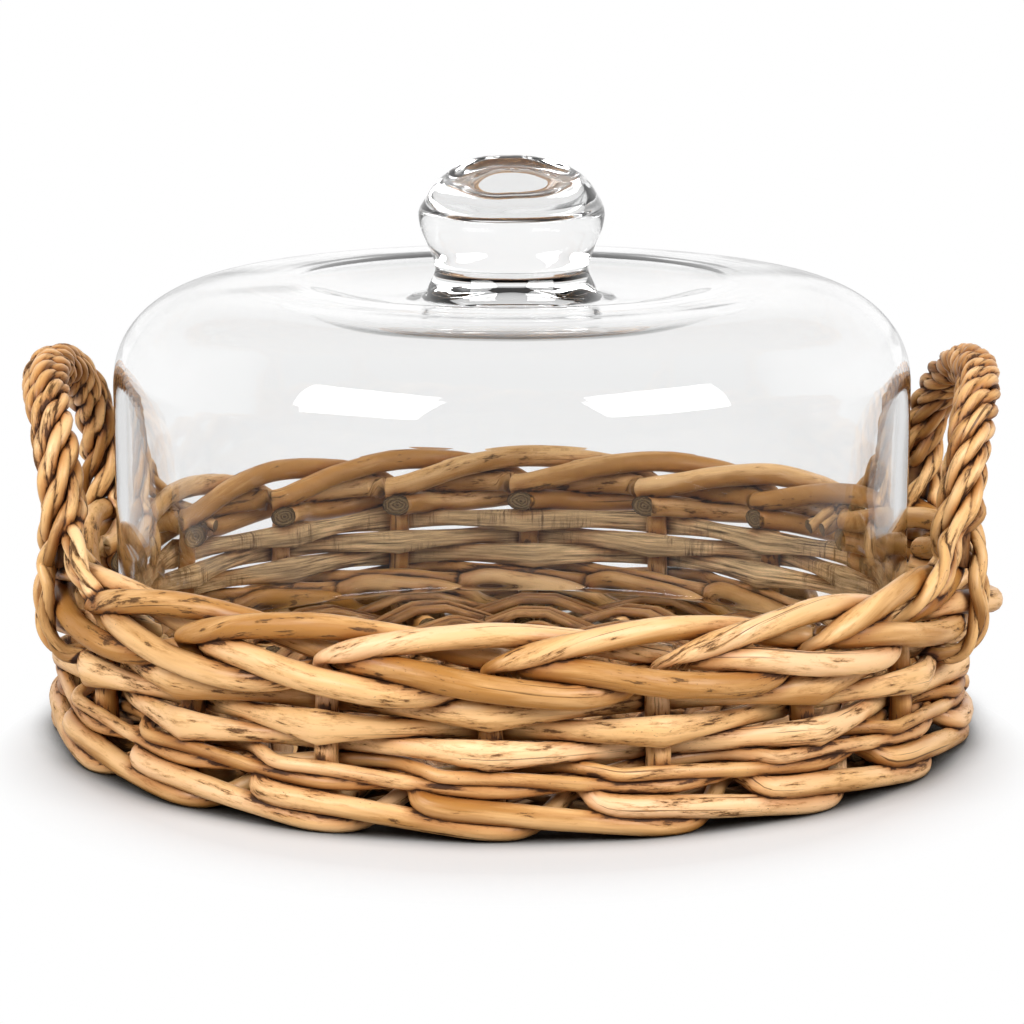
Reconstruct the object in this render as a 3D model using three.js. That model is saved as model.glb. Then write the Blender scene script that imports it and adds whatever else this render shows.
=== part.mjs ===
// Round willow tray basket with two rope-twisted handles and a mouth-blown glass cloche.
// Millimetres, +Z up. The origin is on the ground under the middle of the base, the front is -Y.
import * as THREE from "three";

// Sticks, stakes and the wall they stand in
const BASE_STICKS = 9;
const STAKES = 2 * BASE_STICKS;
const PITCH = 360 / STAKES;
const FRONT_STAKE_ANGLE = -2.5;
const WALL_R = 160;
const STAKE_D = 7.5;
const STAKE_TIP_D = 6.7;
const STICK_D = 5.4;
const FIT = 0.3;

// Woven base
const BASE_Z = 8;
const FOOT_INNER_R = 112;
const FOOT_BEND_R = 5;
const STICK_BESIDE_STAKE = 4;
const STICK_PAST_EDGE = 1.8;
const SLATH_HALF = 14;
const SLATH_SPACING = 5.7;
const SLATH_FAN_R = 36;
const STRIP_WIDTH = 9.6;
const STRIP_THICKNESS = 3;
const STRIP_ROWS = 7;
const STRIP_ROW_PITCH = 12.2;
const STRIP_EDGE_GAP = 0.75;
const FINE_ROD_D = 4.4;
const FINE_ROD_ROWS = 3;
const FINE_ROD_PITCH = 9.4;
// Stakes from the start of one round to the next: odd, so that rounds take turns over a stick
const ROUND_START_STEP = 5;

// Side weave, from the ground up
const FOOT_WALE_D = 7;
const FOOT_WALE_CUT = 0.3;
const UPPER_WALE_D = 4.2;
const SPLIT_ROWS = 3;
const SPLIT_THICKNESS = 5.5;
const SPLIT_HEIGHT = 9;
const SPLIT_PINCH = 6.3;
const SPLIT_ROW_PITCH = 7.2;

// Handles
const HANDLE_STRANDS = 5;
const STRAND_D = 5.1;
const ROPE_R = 6.1;
const ROPE_CORE_D = 5;
const ROPE_TURNS = 3.2;
const HANDLE_FOOT_ANGLE = 21;
const HANDLE_LEAN_IN = 1.4;
const HANDLE_FAN_SPACING = 5.9;
// Heights over the top of the weave: the handle's middle, where its rope starts, where its flat
// fan ends; and how far below the top of the weave the fan tucks in
const HANDLE_RISE = 82.8;
const ROPE_START_RISE = 43.8;
const FAN_RISE = 27.3;
const HANDLE_TUCK = 4.7;

// Glass cloche
const CLOCHE_CLEARANCE = 3.25;
const CLOCHE_WALL = 4.5;
const CLOCHE_SHOULDER_Z = 126;
const CLOCHE_CREST_R = 95;
const CLOCHE_CREST_Z = 164;
const CLOCHE_DIP = 7.5;
const CLOCHE_DIP_R = 80;
const KNOB_NECK_R = 27.8;
const KNOB_HEAD_R = 33.6;
const KNOB_HEAD_Z = 189;
const KNOB_TOP_Z = 206;
const KNOB_DISH = 4;

// Heights that follow from the rods laid on each other
const FOOT_WALE_LOW = (FOOT_WALE_D / 2) * Math.cos(Math.PI / 5) - FOOT_WALE_CUT;
const FOOT_WALE_HIGH = FOOT_WALE_LOW + FOOT_WALE_D + 2 * FIT;
const FOOT_WALE_INSIDE = BASE_Z + STAKE_D / 2 + FIT + FOOT_WALE_D / 2;
const UPPER_WALE_LOW = FOOT_WALE_HIGH + FOOT_WALE_D / 2 + 2 * FIT + UPPER_WALE_D / 2;
const UPPER_WALE_HIGH = UPPER_WALE_LOW + UPPER_WALE_D + 1.5 * FIT;
const UPPER_WALE_INSIDE = FOOT_WALE_INSIDE + FOOT_WALE_D / 2 + FIT + UPPER_WALE_D / 2;
const UPPER_WALE_TOP = Math.max(UPPER_WALE_HIGH, UPPER_WALE_INSIDE) + UPPER_WALE_D / 2;
const SPLIT_FIRST_Z = UPPER_WALE_TOP + FIT + SPLIT_HEIGHT / 2;
const WEAVE_TOP = SPLIT_FIRST_Z + (SPLIT_ROWS - 1) * SPLIT_ROW_PITCH + SPLIT_HEIGHT / 2;

// The base ends inside the foot wale, and its fine rounds follow on the last strip
const reachPastStake = (diameter) => STAKE_D / 2 + FIT + diameter / 2;
const BASE_EDGE_R = WALL_R - reachPastStake(FOOT_WALE_D) - FOOT_WALE_D / 2 - STRIP_EDGE_GAP;
const STICK_END_R = BASE_EDGE_R + STICK_PAST_EDGE;
const STRIP_OUTER_R = BASE_EDGE_R - STRIP_WIDTH / 2;
const FINE_ROD_OUTER_R = STRIP_OUTER_R - (STRIP_ROWS - 0.5) * STRIP_ROW_PITCH - FINE_ROD_D / 2;

const willow = new THREE.MeshStandardMaterial({ color: 0xc79a5e, roughness: 0.55, metalness: 0 });
const paleWillow = new THREE.MeshStandardMaterial({ color: 0xd6ab6b, roughness: 0.55, metalness: 0 });
const splitWillow = new THREE.MeshStandardMaterial({ color: 0xb88a54, roughness: 0.65, metalness: 0 });
const clearGlass = new THREE.MeshStandardMaterial({
  color: 0xe6eceb,
  roughness: 0.05,
  metalness: 0,
  transparent: true,
  opacity: 0.35,
});

const ROUND_5 = regularSection(5);
const SPLIT_SECTION = [
  [-0.5, -0.42],
  [0.05, -0.5],
  [0.5, -0.2],
  [0.5, 0.2],
  [0.05, 0.5],
  [-0.5, 0.42],
];
// A four-sided stand-in for a thin round rod has the rod's own area
const SQUARED = Math.sqrt(Math.PI) / 2;
const STRIP_SECTION = [
  [-0.5, -0.5],
  [0.5, -0.5],
  [0.5, 0.5],
  [-0.5, 0.5],
];

// Corners of a regular polygon one unit across, with a flat side underneath
function regularSection(sides) {
  return Array.from({ length: sides }, (_, k) => {
    const angle = ((2 * k + 1) / sides - 0.5) * Math.PI;
    return [Math.cos(angle) / 2, Math.sin(angle) / 2];
  });
}

// A point of the wall: turn counts stakes from the front one, r and z are real sizes
function wallPoint(turn, r, z) {
  const angle = THREE.MathUtils.degToRad(FRONT_STAKE_ANGLE + turn * PITCH);
  return new THREE.Vector3(r * Math.sin(angle), -r * Math.cos(angle), z);
}

function awayFromAxis(point) {
  return new THREE.Vector3(point.x, point.y, 0).normalize();
}

// A closed rod through points. sizeAt gives the section's width and height at a point,
// sideAt the direction that its width faces, which else carries on from the point before.
function sweep(points, section, sizeAt, sideAt) {
  const corners = [];
  const last = points.length - 1;
  const side = new THREE.Vector3();
  points.forEach((point, i) => {
    const before = points[Math.max(i - 1, 0)];
    const after = points[Math.min(i + 1, last)];
    const tangent = after.clone().sub(before).normalize();
    side.copy(sideAt(i, point, side)).projectOnPlane(tangent).normalize();
    const up = side.clone().cross(tangent);
    const [width, height] = sizeAt(i / last, i);
    for (const [a, b] of section) {
      corners.push(point.clone().addScaledVector(side, a * width).addScaledVector(up, b * height));
    }
  });
  const n = section.length;
  const faces = [];
  for (let i = 0; i < last; i += 1) {
    for (let k = 0; k < n; k += 1) {
      const a = i * n + k;
      const b = i * n + ((k + 1) % n);
      faces.push(a, a + n, b, b, a + n, b + n);
    }
  }
  for (let k = 1; k < n - 1; k += 1) {
    faces.push(0, k, k + 1);
    faces.push(last * n, last * n + k + 1, last * n + k);
  }
  const geometry = new THREE.BufferGeometry();
  const numbers = corners.flatMap((corner) => corner.toArray());
  geometry.setAttribute("position", new THREE.Float32BufferAttribute(numbers, 3));
  geometry.setIndex(faces);
  geometry.computeVertexNormals();
  return geometry;
}

const round = (diameter) => () => [diameter, diameter];
const tapered = (butt, tip) => (share) => {
  const diameter = THREE.MathUtils.lerp(butt, tip, share);
  return [diameter, diameter];
};
const facingOut = (i, point) => awayFromAxis(point);

const basket = new THREE.Group();

function addPiece(name, geometry, material, parent = basket) {
  const mesh = new THREE.Mesh(geometry, material);
  mesh.name = name;
  parent.add(mesh);
  return mesh;
}

const label = (stem, index) => `${stem}_${String(index + 1).padStart(2, "0")}`;

// Base sticks: two bundles cross in the middle, one on the other, and fan out to one end per stake
function baseStick(index) {
  const upperCount = Math.ceil(BASE_STICKS / 2);
  const inUpper = index < upperCount;
  const count = inUpper ? upperCount : BASE_STICKS - upperCount;
  const position = (inUpper ? index : index - upperCount) - (count - 1) / 2;
  const middleIndex = (inUpper ? 0 : upperCount) + (count - 1) / 2;
  const firstAngle = FRONT_STAKE_ANGLE - STICK_BESIDE_STAKE;
  const bundleAngle = THREE.MathUtils.degToRad(firstAngle + middleIndex * PITCH);
  const lift = ((inUpper ? 1 : -1) * (STICK_D + FIT)) / 2;
  const along = new THREE.Vector2(Math.sin(bundleAngle), -Math.cos(bundleAngle));
  const aside = new THREE.Vector2(Math.cos(bundleAngle), Math.sin(bundleAngle));
  const offset = position * SLATH_SPACING;
  const fan = THREE.MathUtils.degToRad(position * PITCH);
  // Ground places of one half, measured along the bundle and aside from it
  const half = [
    [SLATH_HALF, offset, BASE_Z + lift],
    [SLATH_FAN_R * Math.cos(fan), SLATH_FAN_R * Math.sin(fan), BASE_Z],
    [STICK_END_R * Math.cos(fan), STICK_END_R * Math.sin(fan), BASE_Z],
  ];
  const onGround = (sign) => ([ahead, beside, z]) => {
    const place = along.clone().multiplyScalar(ahead * sign).addScaledVector(aside, beside);
    return new THREE.Vector3(place.x, place.y, z);
  };
  const outward = half.map(onGround(1));
  const inward = half.map(onGround(-1)).reverse();
  const sideways = new THREE.Vector3(aside.x, aside.y, 0);
  return sweep([...inward, ...outward], ROUND_5, round(STICK_D), () => sideways);
}

// One round of the base: level over each stick, then straight down under the next. It starts
// half-way before its first stick, so that the cut ends of the rounds don't line up.
function baseRound(round, r, width, thickness) {
  const holdsFeet = r - STRIP_WIDTH / 2 > FOOT_INNER_R - STRIP_ROW_PITCH;
  const carriedRadius = (holdsFeet ? STAKE_D : STICK_D) / 2;
  const centre = (holdsFeet ? -0.5 : -1) * (STICK_BESIDE_STAKE / PITCH);
  const rise = carriedRadius + FIT + thickness / 2;
  const turnOf = (length) => THREE.MathUtils.radToDeg(length / r) / PITCH;
  const hold = turnOf(carriedRadius + FIT) + (holdsFeet ? STICK_BESIDE_STAKE / 2 / PITCH : 0);
  const first = centre + round * ROUND_START_STEP;
  const points = [wallPoint(first - 0.5 + turnOf(FIT), r, BASE_Z)];
  for (let k = 0; k < STAKES; k += 1) {
    const z = BASE_Z + (k % 2 === 0 ? rise : -rise);
    points.push(wallPoint(first + k - hold, r, z), wallPoint(first + k + hold, r, z));
  }
  points.push(wallPoint(first + STAKES - 0.5 - turnOf(FIT), r, BASE_Z));
  return sweep(points, STRIP_SECTION, () => [width, thickness], facingOut);
}

// Stakes that one round of a wale passes, and how far past its first stake a rod's end lies
const WALE_RUN = 3 * Math.floor(STAKES / 3);
const ROD_END_TURN = 0.04;

// A rod that goes once round the wall through keys of [turn, side, height], side -1 inside to 1
// outside, and ends a little past and a little short of the stake that it starts behind
function wallRod(keys, start, reach, diameter, section) {
  const stops = [];
  for (let turn = 0; turn < WALE_RUN; turn += 3) {
    stops.push(...keys.map(([u, side, z]) => [turn + u, side, z]));
  }
  stops.push([WALE_RUN - ROD_END_TURN, keys[0][1], keys[0][2]]);
  stops[0][0] += ROD_END_TURN;
  const points = stops.map(([turn, side, z]) => wallPoint(start + turn, WALL_R + side * reach, z));
  return sweep(points, section, round(diameter), facingOut);
}

// Three rods chase each other: each passes outside two stakes, then inside one
const footWaleKeys = [
  [0, -1, FOOT_WALE_INSIDE],
  [0.5, 0, FOOT_WALE_INSIDE - 0.57 * FOOT_WALE_D],
  [0.78, 0.85, FOOT_WALE_HIGH + 0.07 * FOOT_WALE_D],
  [1, 1, FOOT_WALE_HIGH],
  [1.3, 1, FOOT_WALE_HIGH - 0.03 * FOOT_WALE_D],
  [1.78, 1, FOOT_WALE_LOW + 0.03 * FOOT_WALE_D],
  [2, 1, FOOT_WALE_LOW],
  [2.22, 0.72, FOOT_WALE_LOW + 0.015 * FOOT_WALE_D],
  [2.47, 0, FOOT_WALE_LOW + 0.19 * FOOT_WALE_D],
  [2.62, -0.55, FOOT_WALE_LOW + 0.43 * FOOT_WALE_D],
];
const upperWaleKeys = [
  [0, -1, UPPER_WALE_INSIDE],
  [0.5, 0, UPPER_WALE_INSIDE + 0.29 * UPPER_WALE_D],
  [1, 1, UPPER_WALE_HIGH],
  [1.32, 1, UPPER_WALE_HIGH - 0.05 * UPPER_WALE_D],
  [1.7, 1, UPPER_WALE_LOW + 0.12 * UPPER_WALE_D],
  [2, 1, UPPER_WALE_LOW],
  [2.5, 0, UPPER_WALE_LOW + 0.32 * UPPER_WALE_D],
  [2.7, -0.8, UPPER_WALE_LOW + 0.62 * UPPER_WALE_D],
];

// Half-round split rods, one stake outside and the next inside, kinked on every stake
function splitRow(row) {
  const reach = STAKE_D / 2 + SPLIT_THICKNESS / 2 + 2 * FIT;
  const z = SPLIT_FIRST_Z + row * SPLIT_ROW_PITCH;
  const points = [];
  const heights = [];
  for (let k = 0; k <= STAKES; k += 1) {
    const outside = k % 2 === 1;
    const endShift = (k === 0) * ROD_END_TURN - (k === STAKES) * ROD_END_TURN;
    points.push(wallPoint(row + 1 + k + endShift, WALL_R + (outside ? reach : -reach), z));
    heights.push(SPLIT_HEIGHT);
    if (k < STAKES) {
      points.push(wallPoint(row + 1 + k + 0.5, WALL_R, z));
      heights.push(SPLIT_PINCH);
    }
  }
  return sweep(points, SPLIT_SECTION, (share, i) => [SPLIT_THICKNESS, heights[i]], facingOut);
}

// Each stake comes out of the base, stands in the wall and is laid down into the border:
// over the next stake, behind the second, in front of two more, and in again to a cut end.
// The border is measured in rod widths: [stakes passed, out from the stake circle, up from the weave]
const BORDER_PASS = [
  [0, 0.02, 0.55],
  [0.04, 0.45, 1.26],
  [0.25, 0.9, 2.16],
  [0.5, 0.9, 2.6],
  [1, 0.38, 2.83],
  [1.75, -0.45, 2.2],
  [2, -0.56, 1.62],
  [2.13, -0.36, 1.27],
  [2.25, 0.28, 1.2],
  [2.5, 1.07, 1.1],
  [3, 1.38, 0.55],
  [3.45, 1.13, 0.12],
  [3.65, 0.58, 0.3],
  [3.82, -0.2, 0.5],
  [4.03, -1, 0.55],
];
const ROD_WIDTH = STAKE_D + FIT;

function stake(index) {
  const points = [
    wallPoint(index, FOOT_INNER_R, BASE_Z),
    wallPoint(index, WALL_R - FOOT_BEND_R, BASE_Z),
    wallPoint(index, WALL_R, BASE_Z + FOOT_BEND_R),
  ];
  for (const [turn, out, up] of BORDER_PASS) {
    points.push(wallPoint(index + turn, WALL_R + out * ROD_WIDTH, WEAVE_TOP + up * ROD_WIDTH));
  }
  const across = awayFromAxis(points[0]).cross(new THREE.Vector3(0, 0, 1));
  const carriedOn = (i, point, previous) => (i === 0 ? across : previous);
  return sweep(points, ROUND_5, tapered(STAKE_D, STAKE_TIP_D), carriedOn);
}

// How far a strand's middle lies off the border's widest rods, as a share of the strand's radius:
// those rods are widest only half-way between the heels, so the strands settle a little deeper
const FAN_STANDOFF = 0.55;

// Handle: strands laid round a core; at each foot the rope opens into a flat fan of strands
// that lies down the outside of the border and tucks in under it
const BORDER_OUTER_R = WALL_R + Math.max(...BORDER_PASS.map(([, out]) => out)) * ROD_WIDTH + STAKE_TIP_D / 2;
const FAN_R = BORDER_OUTER_R + FIT + FAN_STANDOFF * (STRAND_D / 2) - ROPE_R;
const FAN_FOOT_Z = WEAVE_TOP - HANDLE_TUCK;
const FAN_TOP_Z = WEAVE_TOP + FAN_RISE;
const ROPE_START_Z = WEAVE_TOP + ROPE_START_RISE;
const HANDLE_TOP_R = FAN_R - HANDLE_LEAN_IN;
const HANDLE_TOP_Z = WEAVE_TOP + HANDLE_RISE;
const fanHeight = (share) => THREE.MathUtils.lerp(FAN_FOOT_Z, FAN_TOP_Z, share);
const archHeight = (share) => THREE.MathUtils.lerp(FAN_TOP_Z, HANDLE_TOP_Z, share);
// Half of the handle's middle line from its foot up: [from the axis, degrees beside it, height]
const handleHalf = [
  [FAN_R - 0.65 * STRAND_D, HANDLE_FOOT_ANGLE, FAN_FOOT_Z],
  [FAN_R - 0.1 * STRAND_D, HANDLE_FOOT_ANGLE, fanHeight(0.17)],
  [FAN_R, HANDLE_FOOT_ANGLE, fanHeight(0.34)],
  [FAN_R, HANDLE_FOOT_ANGLE, fanHeight(0.62)],
  [FAN_R - 0.13 * STRAND_D, HANDLE_FOOT_ANGLE, fanHeight(0.85)],
  [FAN_R - 0.42 * STRAND_D, 0.98 * HANDLE_FOOT_ANGLE, archHeight(0.05)],
  [HANDLE_TOP_R - 0.13 * STRAND_D, 0.92 * HANDLE_FOOT_ANGLE, archHeight(0.23)],
  [HANDLE_TOP_R - 0.1 * STRAND_D, 0.79 * HANDLE_FOOT_ANGLE, archHeight(0.5)],
  [HANDLE_TOP_R - 0.03 * STRAND_D, 0.58 * HANDLE_FOOT_ANGLE, archHeight(0.75)],
  [HANDLE_TOP_R, 0.3 * HANDLE_FOOT_ANGLE, archHeight(0.93)],
];

function handlePoint([r, degrees, z], hand) {
  const angle = THREE.MathUtils.degToRad(hand * degrees);
  return new THREE.Vector3(r * Math.cos(angle), r * Math.sin(angle), z);
}

const handleLine = new THREE.CatmullRomCurve3([
  ...handleHalf.map((key) => handlePoint(key, -1)),
  new THREE.Vector3(HANDLE_TOP_R, 0, HANDLE_TOP_Z),
  ...handleHalf.toReversed().map((key) => handlePoint(key, 1)),
]);
handleLine.arcLengthDivisions = 400;

// Share of the handle line, from its middle down, at which it passes a height
function shareAtHeight(z) {
  let low = 0;
  let high = 0.5;
  while (high - low > 1e-5) {
    const middle = (low + high) / 2;
    if (handleLine.getPointAt(middle).z < z) {
      low = middle;
    } else {
      high = middle;
    }
  }
  return low;
}

const ROPE_SHARE = shareAtHeight(ROPE_START_Z);
const FAN_SHARE = shareAtHeight(FAN_TOP_Z);
const FAN_STEPS = 3;
const ROPE_STEPS = 25;

// Steps along a strand: a few down each flat fan, more where the rope twists
function strandShares() {
  const along = (from, to, steps) =>
    Array.from({ length: steps }, (_, i) => THREE.MathUtils.lerp(from, to, i / steps));
  return [
    ...along(0, FAN_SHARE, FAN_STEPS),
    ...along(FAN_SHARE, 1 - FAN_SHARE, ROPE_STEPS),
    ...along(1 - FAN_SHARE, 1, FAN_STEPS),
    1,
  ];
}

function strandPoint(share, strand) {
  const centre = handleLine.getPointAt(share);
  const tangent = handleLine.getTangentAt(share);
  const out = awayFromAxis(centre).projectOnPlane(tangent).normalize();
  const across = tangent.clone().cross(out);
  const spread = 1 - THREE.MathUtils.smoothstep(centre.z, FAN_TOP_Z, ROPE_START_Z);
  const lay = THREE.MathUtils.clamp((share - ROPE_SHARE) / (1 - 2 * ROPE_SHARE), 0, 1);
  const step = (2 * Math.PI) / HANDLE_STRANDS;
  const steps = Math.round(ROPE_TURNS * HANDLE_STRANDS);
  // Past the middle a strand is counted from the place in the far fan that it comes to
  const past = share > 0.5;
  const half = (HANDLE_STRANDS - 1) / 2;
  const slot = past ? ((strand + half + steps) % HANDLE_STRANDS) - half : strand;
  const twist = step * steps * (past ? lay - 1 : lay);
  const opened = Math.max(step * (1 - spread), 1e-3);
  const spacing = THREE.MathUtils.lerp(step * ROPE_R, HANDLE_FAN_SPACING, spread);
  const ringR = spacing / opened;
  const angle = slot * opened;
  const x = ringR * (Math.cos(angle) - 1) + ROPE_R;
  const y = ringR * Math.sin(angle);
  const outward = x * Math.cos(twist) - y * Math.sin(twist);
  const sideways = x * Math.sin(twist) + y * Math.cos(twist);
  return centre.addScaledVector(out, outward).addScaledVector(across, sideways);
}

function handleStrand(index) {
  const strand = index - (HANDLE_STRANDS - 1) / 2;
  const points = strandShares().map((share) => strandPoint(share, strand));
  return sweep(points, ROUND_5, round(STRAND_D), (i, point, previous) =>
    i === 0 ? awayFromAxis(point) : previous,
  );
}

function handleCore() {
  const start = shareAtHeight(FAN_TOP_Z + 2);
  const steps = 12;
  const points = Array.from({ length: steps + 1 }, (_, i) =>
    handleLine.getPointAt(start + ((1 - 2 * start) * i) / steps),
  );
  return sweep(points, ROUND_5, round(ROPE_CORE_D), facingOut);
}

// Cloche: one blown bell, its top drawn in round a solid knob of the same glass
const BORDER_INNER_R = WALL_R + Math.min(...BORDER_PASS.map(([, out]) => out)) * ROD_WIDTH - STAKE_TIP_D / 2;
const CLOCHE_R = BORDER_INNER_R - CLOCHE_CLEARANCE;
const STRIP_RISE = STAKE_D / 2 + FIT + STRIP_THICKNESS / 2;
const CLOCHE_BOTTOM = BASE_Z + STRIP_RISE + STRIP_THICKNESS / 2 + FIT;

function shoulder(wallR, crestZ, steps) {
  const fullness = 2.25;
  return Array.from({ length: steps + 1 }, (_, i) => {
    const angle = (i / steps) * (Math.PI / 2);
    return new THREE.Vector2(
      CLOCHE_CREST_R + (wallR - CLOCHE_CREST_R) * Math.cos(angle) ** (2 / fullness),
      CLOCHE_SHOULDER_Z + (crestZ - CLOCHE_SHOULDER_Z) * Math.sin(angle) ** (2 / fullness),
    );
  });
}

function cloche() {
  const middle = CLOCHE_R - CLOCHE_WALL / 2;
  const seatZ = CLOCHE_CREST_Z - CLOCHE_DIP;
  const rim = [200, 250, 290, 340].map((degrees) => {
    const angle = THREE.MathUtils.degToRad(degrees);
    return new THREE.Vector2(
      middle + (CLOCHE_WALL / 2) * Math.cos(angle),
      CLOCHE_BOTTOM + (CLOCHE_WALL / 2) * (1 + Math.sin(angle)),
    );
  });
  const knob = new THREE.SplineCurve(
    [
      [KNOB_NECK_R + 9, seatZ],
      [KNOB_NECK_R + 4.2, seatZ + 1.4],
      [KNOB_NECK_R + 2.4, seatZ + 5],
      [KNOB_NECK_R, KNOB_HEAD_Z - 21.5],
      [KNOB_NECK_R + 2.2, KNOB_HEAD_Z - 14],
      [KNOB_HEAD_R - 0.6, KNOB_HEAD_Z - 6.5],
      [KNOB_HEAD_R, KNOB_HEAD_Z],
      [KNOB_HEAD_R - 2.3, KNOB_TOP_Z - 8.5],
      [KNOB_HEAD_R - 6.5, KNOB_TOP_Z - 2.5],
      [KNOB_HEAD_R - 11, KNOB_TOP_Z],
      [KNOB_HEAD_R - 17, KNOB_TOP_Z - 0.5 * KNOB_DISH],
      [0.2 * KNOB_HEAD_R, KNOB_TOP_Z - KNOB_DISH],
      [0, KNOB_TOP_Z - KNOB_DISH],
    ].map(([r, z]) => new THREE.Vector2(r, z)),
  );
  // The top stays level to the edge of its dip, then falls like a saucer to the knob
  const dip = (share, below) => new THREE.Vector2(
    THREE.MathUtils.lerp(CLOCHE_DIP_R, KNOB_NECK_R + 9, share),
    CLOCHE_CREST_Z - below - CLOCHE_DIP * (1 - (1 - share) ** 2),
  );
  const outerTop = [0, 0.3, 0.65].map((share) => dip(share, 0));
  const innerTop = [0, 0.3, 0.65, 1].map((share) => dip(share, CLOCHE_WALL));
  const knobLine = knob.getPoints(13);
  knobLine[knobLine.length - 1].x = 0;
  const profile = [
    new THREE.Vector2(0, seatZ - CLOCHE_WALL),
    ...innerTop.toReversed(),
    ...shoulder(CLOCHE_R - CLOCHE_WALL, CLOCHE_CREST_Z - CLOCHE_WALL, 5).toReversed(),
    ...rim,
    ...shoulder(CLOCHE_R, CLOCHE_CREST_Z, 6),
    ...outerTop,
    ...knobLine,
  ];
  const geometry = new THREE.LatheGeometry(profile, 32);
  geometry.rotateX(Math.PI / 2);
  return geometry;
}

for (let i = 0; i < BASE_STICKS; i += 1) {
  addPiece(label("base_stick", i), baseStick(i), willow);
}
for (let row = 0; row < STRIP_ROWS; row += 1) {
  const r = STRIP_OUTER_R - row * STRIP_ROW_PITCH;
  addPiece(label("base_strip", row), baseRound(row, r, STRIP_WIDTH, STRIP_THICKNESS), splitWillow);
}
for (let row = 0; row < FINE_ROD_ROWS; row += 1) {
  const r = FINE_ROD_OUTER_R - row * FINE_ROD_PITCH;
  const size = SQUARED * FINE_ROD_D;
  addPiece(label("base_fine_rod", row), baseRound(STRIP_ROWS + row, r, size, size), willow);
}
for (let i = 0; i < STAKES; i += 1) {
  addPiece(label("stake", i), stake(i), willow);
}
for (let i = 0; i < 3; i += 1) {
  const rod = wallRod(footWaleKeys, i, reachPastStake(FOOT_WALE_D), FOOT_WALE_D, ROUND_5);
  const place = rod.getAttribute("position");
  for (let k = 0; k < place.count; k += 1) {
    place.setZ(k, Math.max(place.getZ(k), 0));
  }
  addPiece(label("foot_wale", i), rod, paleWillow);
}
for (let i = 0; i < 3; i += 1) {
  const reach = reachPastStake(UPPER_WALE_D);
  const rod = wallRod(upperWaleKeys, i + 1, reach, SQUARED * UPPER_WALE_D, STRIP_SECTION);
  addPiece(label("upper_wale", i), rod, paleWillow);
}
for (let row = 0; row < SPLIT_ROWS; row += 1) {
  addPiece(label("split_row", row), splitRow(row), splitWillow);
}
for (const [name, turned] of [["right", 0], ["left", Math.PI]]) {
  const handle = new THREE.Group();
  handle.rotation.z = turned;
  for (let i = 0; i < HANDLE_STRANDS; i += 1) {
    addPiece(label(`${name}_handle_strand`, i), handleStrand(i), paleWillow, handle);
  }
  addPiece(`${name}_handle_core`, handleCore(), willow, handle);
  basket.add(handle);
}
addPiece("glass_cloche", cloche(), clearGlass);

export default basket;
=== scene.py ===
# Lidded basket: a round willow tray with two rope-twisted handles, and the blown-glass cloche
# that stands in it. Sizes are in millimetres, and MM turns them into the frame's metres.
import math
import random

import bpy
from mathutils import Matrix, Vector, noise
from mathutils.kdtree import KDTree


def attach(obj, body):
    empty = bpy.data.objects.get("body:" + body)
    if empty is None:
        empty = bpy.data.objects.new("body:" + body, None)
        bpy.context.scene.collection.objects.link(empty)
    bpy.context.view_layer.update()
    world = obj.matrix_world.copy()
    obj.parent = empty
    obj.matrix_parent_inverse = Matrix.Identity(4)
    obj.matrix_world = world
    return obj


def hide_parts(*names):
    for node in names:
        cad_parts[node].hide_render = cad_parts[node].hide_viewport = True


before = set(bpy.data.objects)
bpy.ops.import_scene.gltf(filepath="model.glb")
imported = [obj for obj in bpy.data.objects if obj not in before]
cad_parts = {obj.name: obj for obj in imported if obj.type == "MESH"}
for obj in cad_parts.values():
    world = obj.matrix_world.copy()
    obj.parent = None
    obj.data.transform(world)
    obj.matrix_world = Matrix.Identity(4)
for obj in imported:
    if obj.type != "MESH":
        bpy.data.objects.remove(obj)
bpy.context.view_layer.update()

# Base sticks
# Nine whole willow rods, cut to length. Two bundles cross in the middle, one on the other, and
# are opened out like a fan, so that each gives two spokes that the base is woven on.
MM = 0.001
BASE_STICKS = 9
STAKES = 2 * BASE_STICKS
PITCH = 360 / STAKES
FRONT_STAKE_ANGLE = -2.5
FIT = 0.3
BASE_Z = 8
STICK_D = 5.4
STICK_BESIDE_STAKE = 4
STICK_END_R = 150
STICK_STEP = 3
SLATH_HALF = 14
SLATH_SPACING = 5.7
SLATH_FAN_R = 36

# Painted light and shade: a rod's tone is made lighter where its surface faces up and out, towards the
# lamps, and darker where it faces down or into the basket
PAINTED_LIGHT_SHARE = 0.22
PAINTED_LIGHT_OUTWARD = 0.9
TONE_LEVEL = 0.07
# A grown rod: its slow swellings, its small lumps and its wander, by the metre, and its bud scars
SWELLING = 0.05
SWELLING_RATE = 28
LUMPS = 0.035
LUMP_RATE = 45
LUMPS_AROUND = 1.4
WANDER_RATE = 20
FIRST_SCAR = (0.01, 0.06)
SCARS_APART = (0.035, 0.09)
SCAR_REACH = 0.006
SCAR_HALF = 0.0022
BUD_HALF = 0.7
SCAR_RISE = 0.03
BUD_RISE = 0.1
END_ROUNDING = 0.86
END_DOMING = 0.25
PITH_OUT = 0.05

rods = []


def wall_point(turn, r, z):
    """A point of the round wall: turn counts stakes from the front one, to the right."""
    angle = math.radians(FRONT_STAKE_ANGLE + turn * PITCH)
    return Vector((r * math.sin(angle), -r * math.cos(angle), z)) * MM


def facing_out(point):
    """The level direction from the basket's axis to a point."""
    return Vector((point.x, point.y, 0)).normalized()


def smoothstep(value, low, high):
    """0 up to low, 1 from high on, and a soft rise between."""
    share = min(max((value - low) / (high - low), 0), 1)
    return share * share * (3 - 2 * share)


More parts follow.
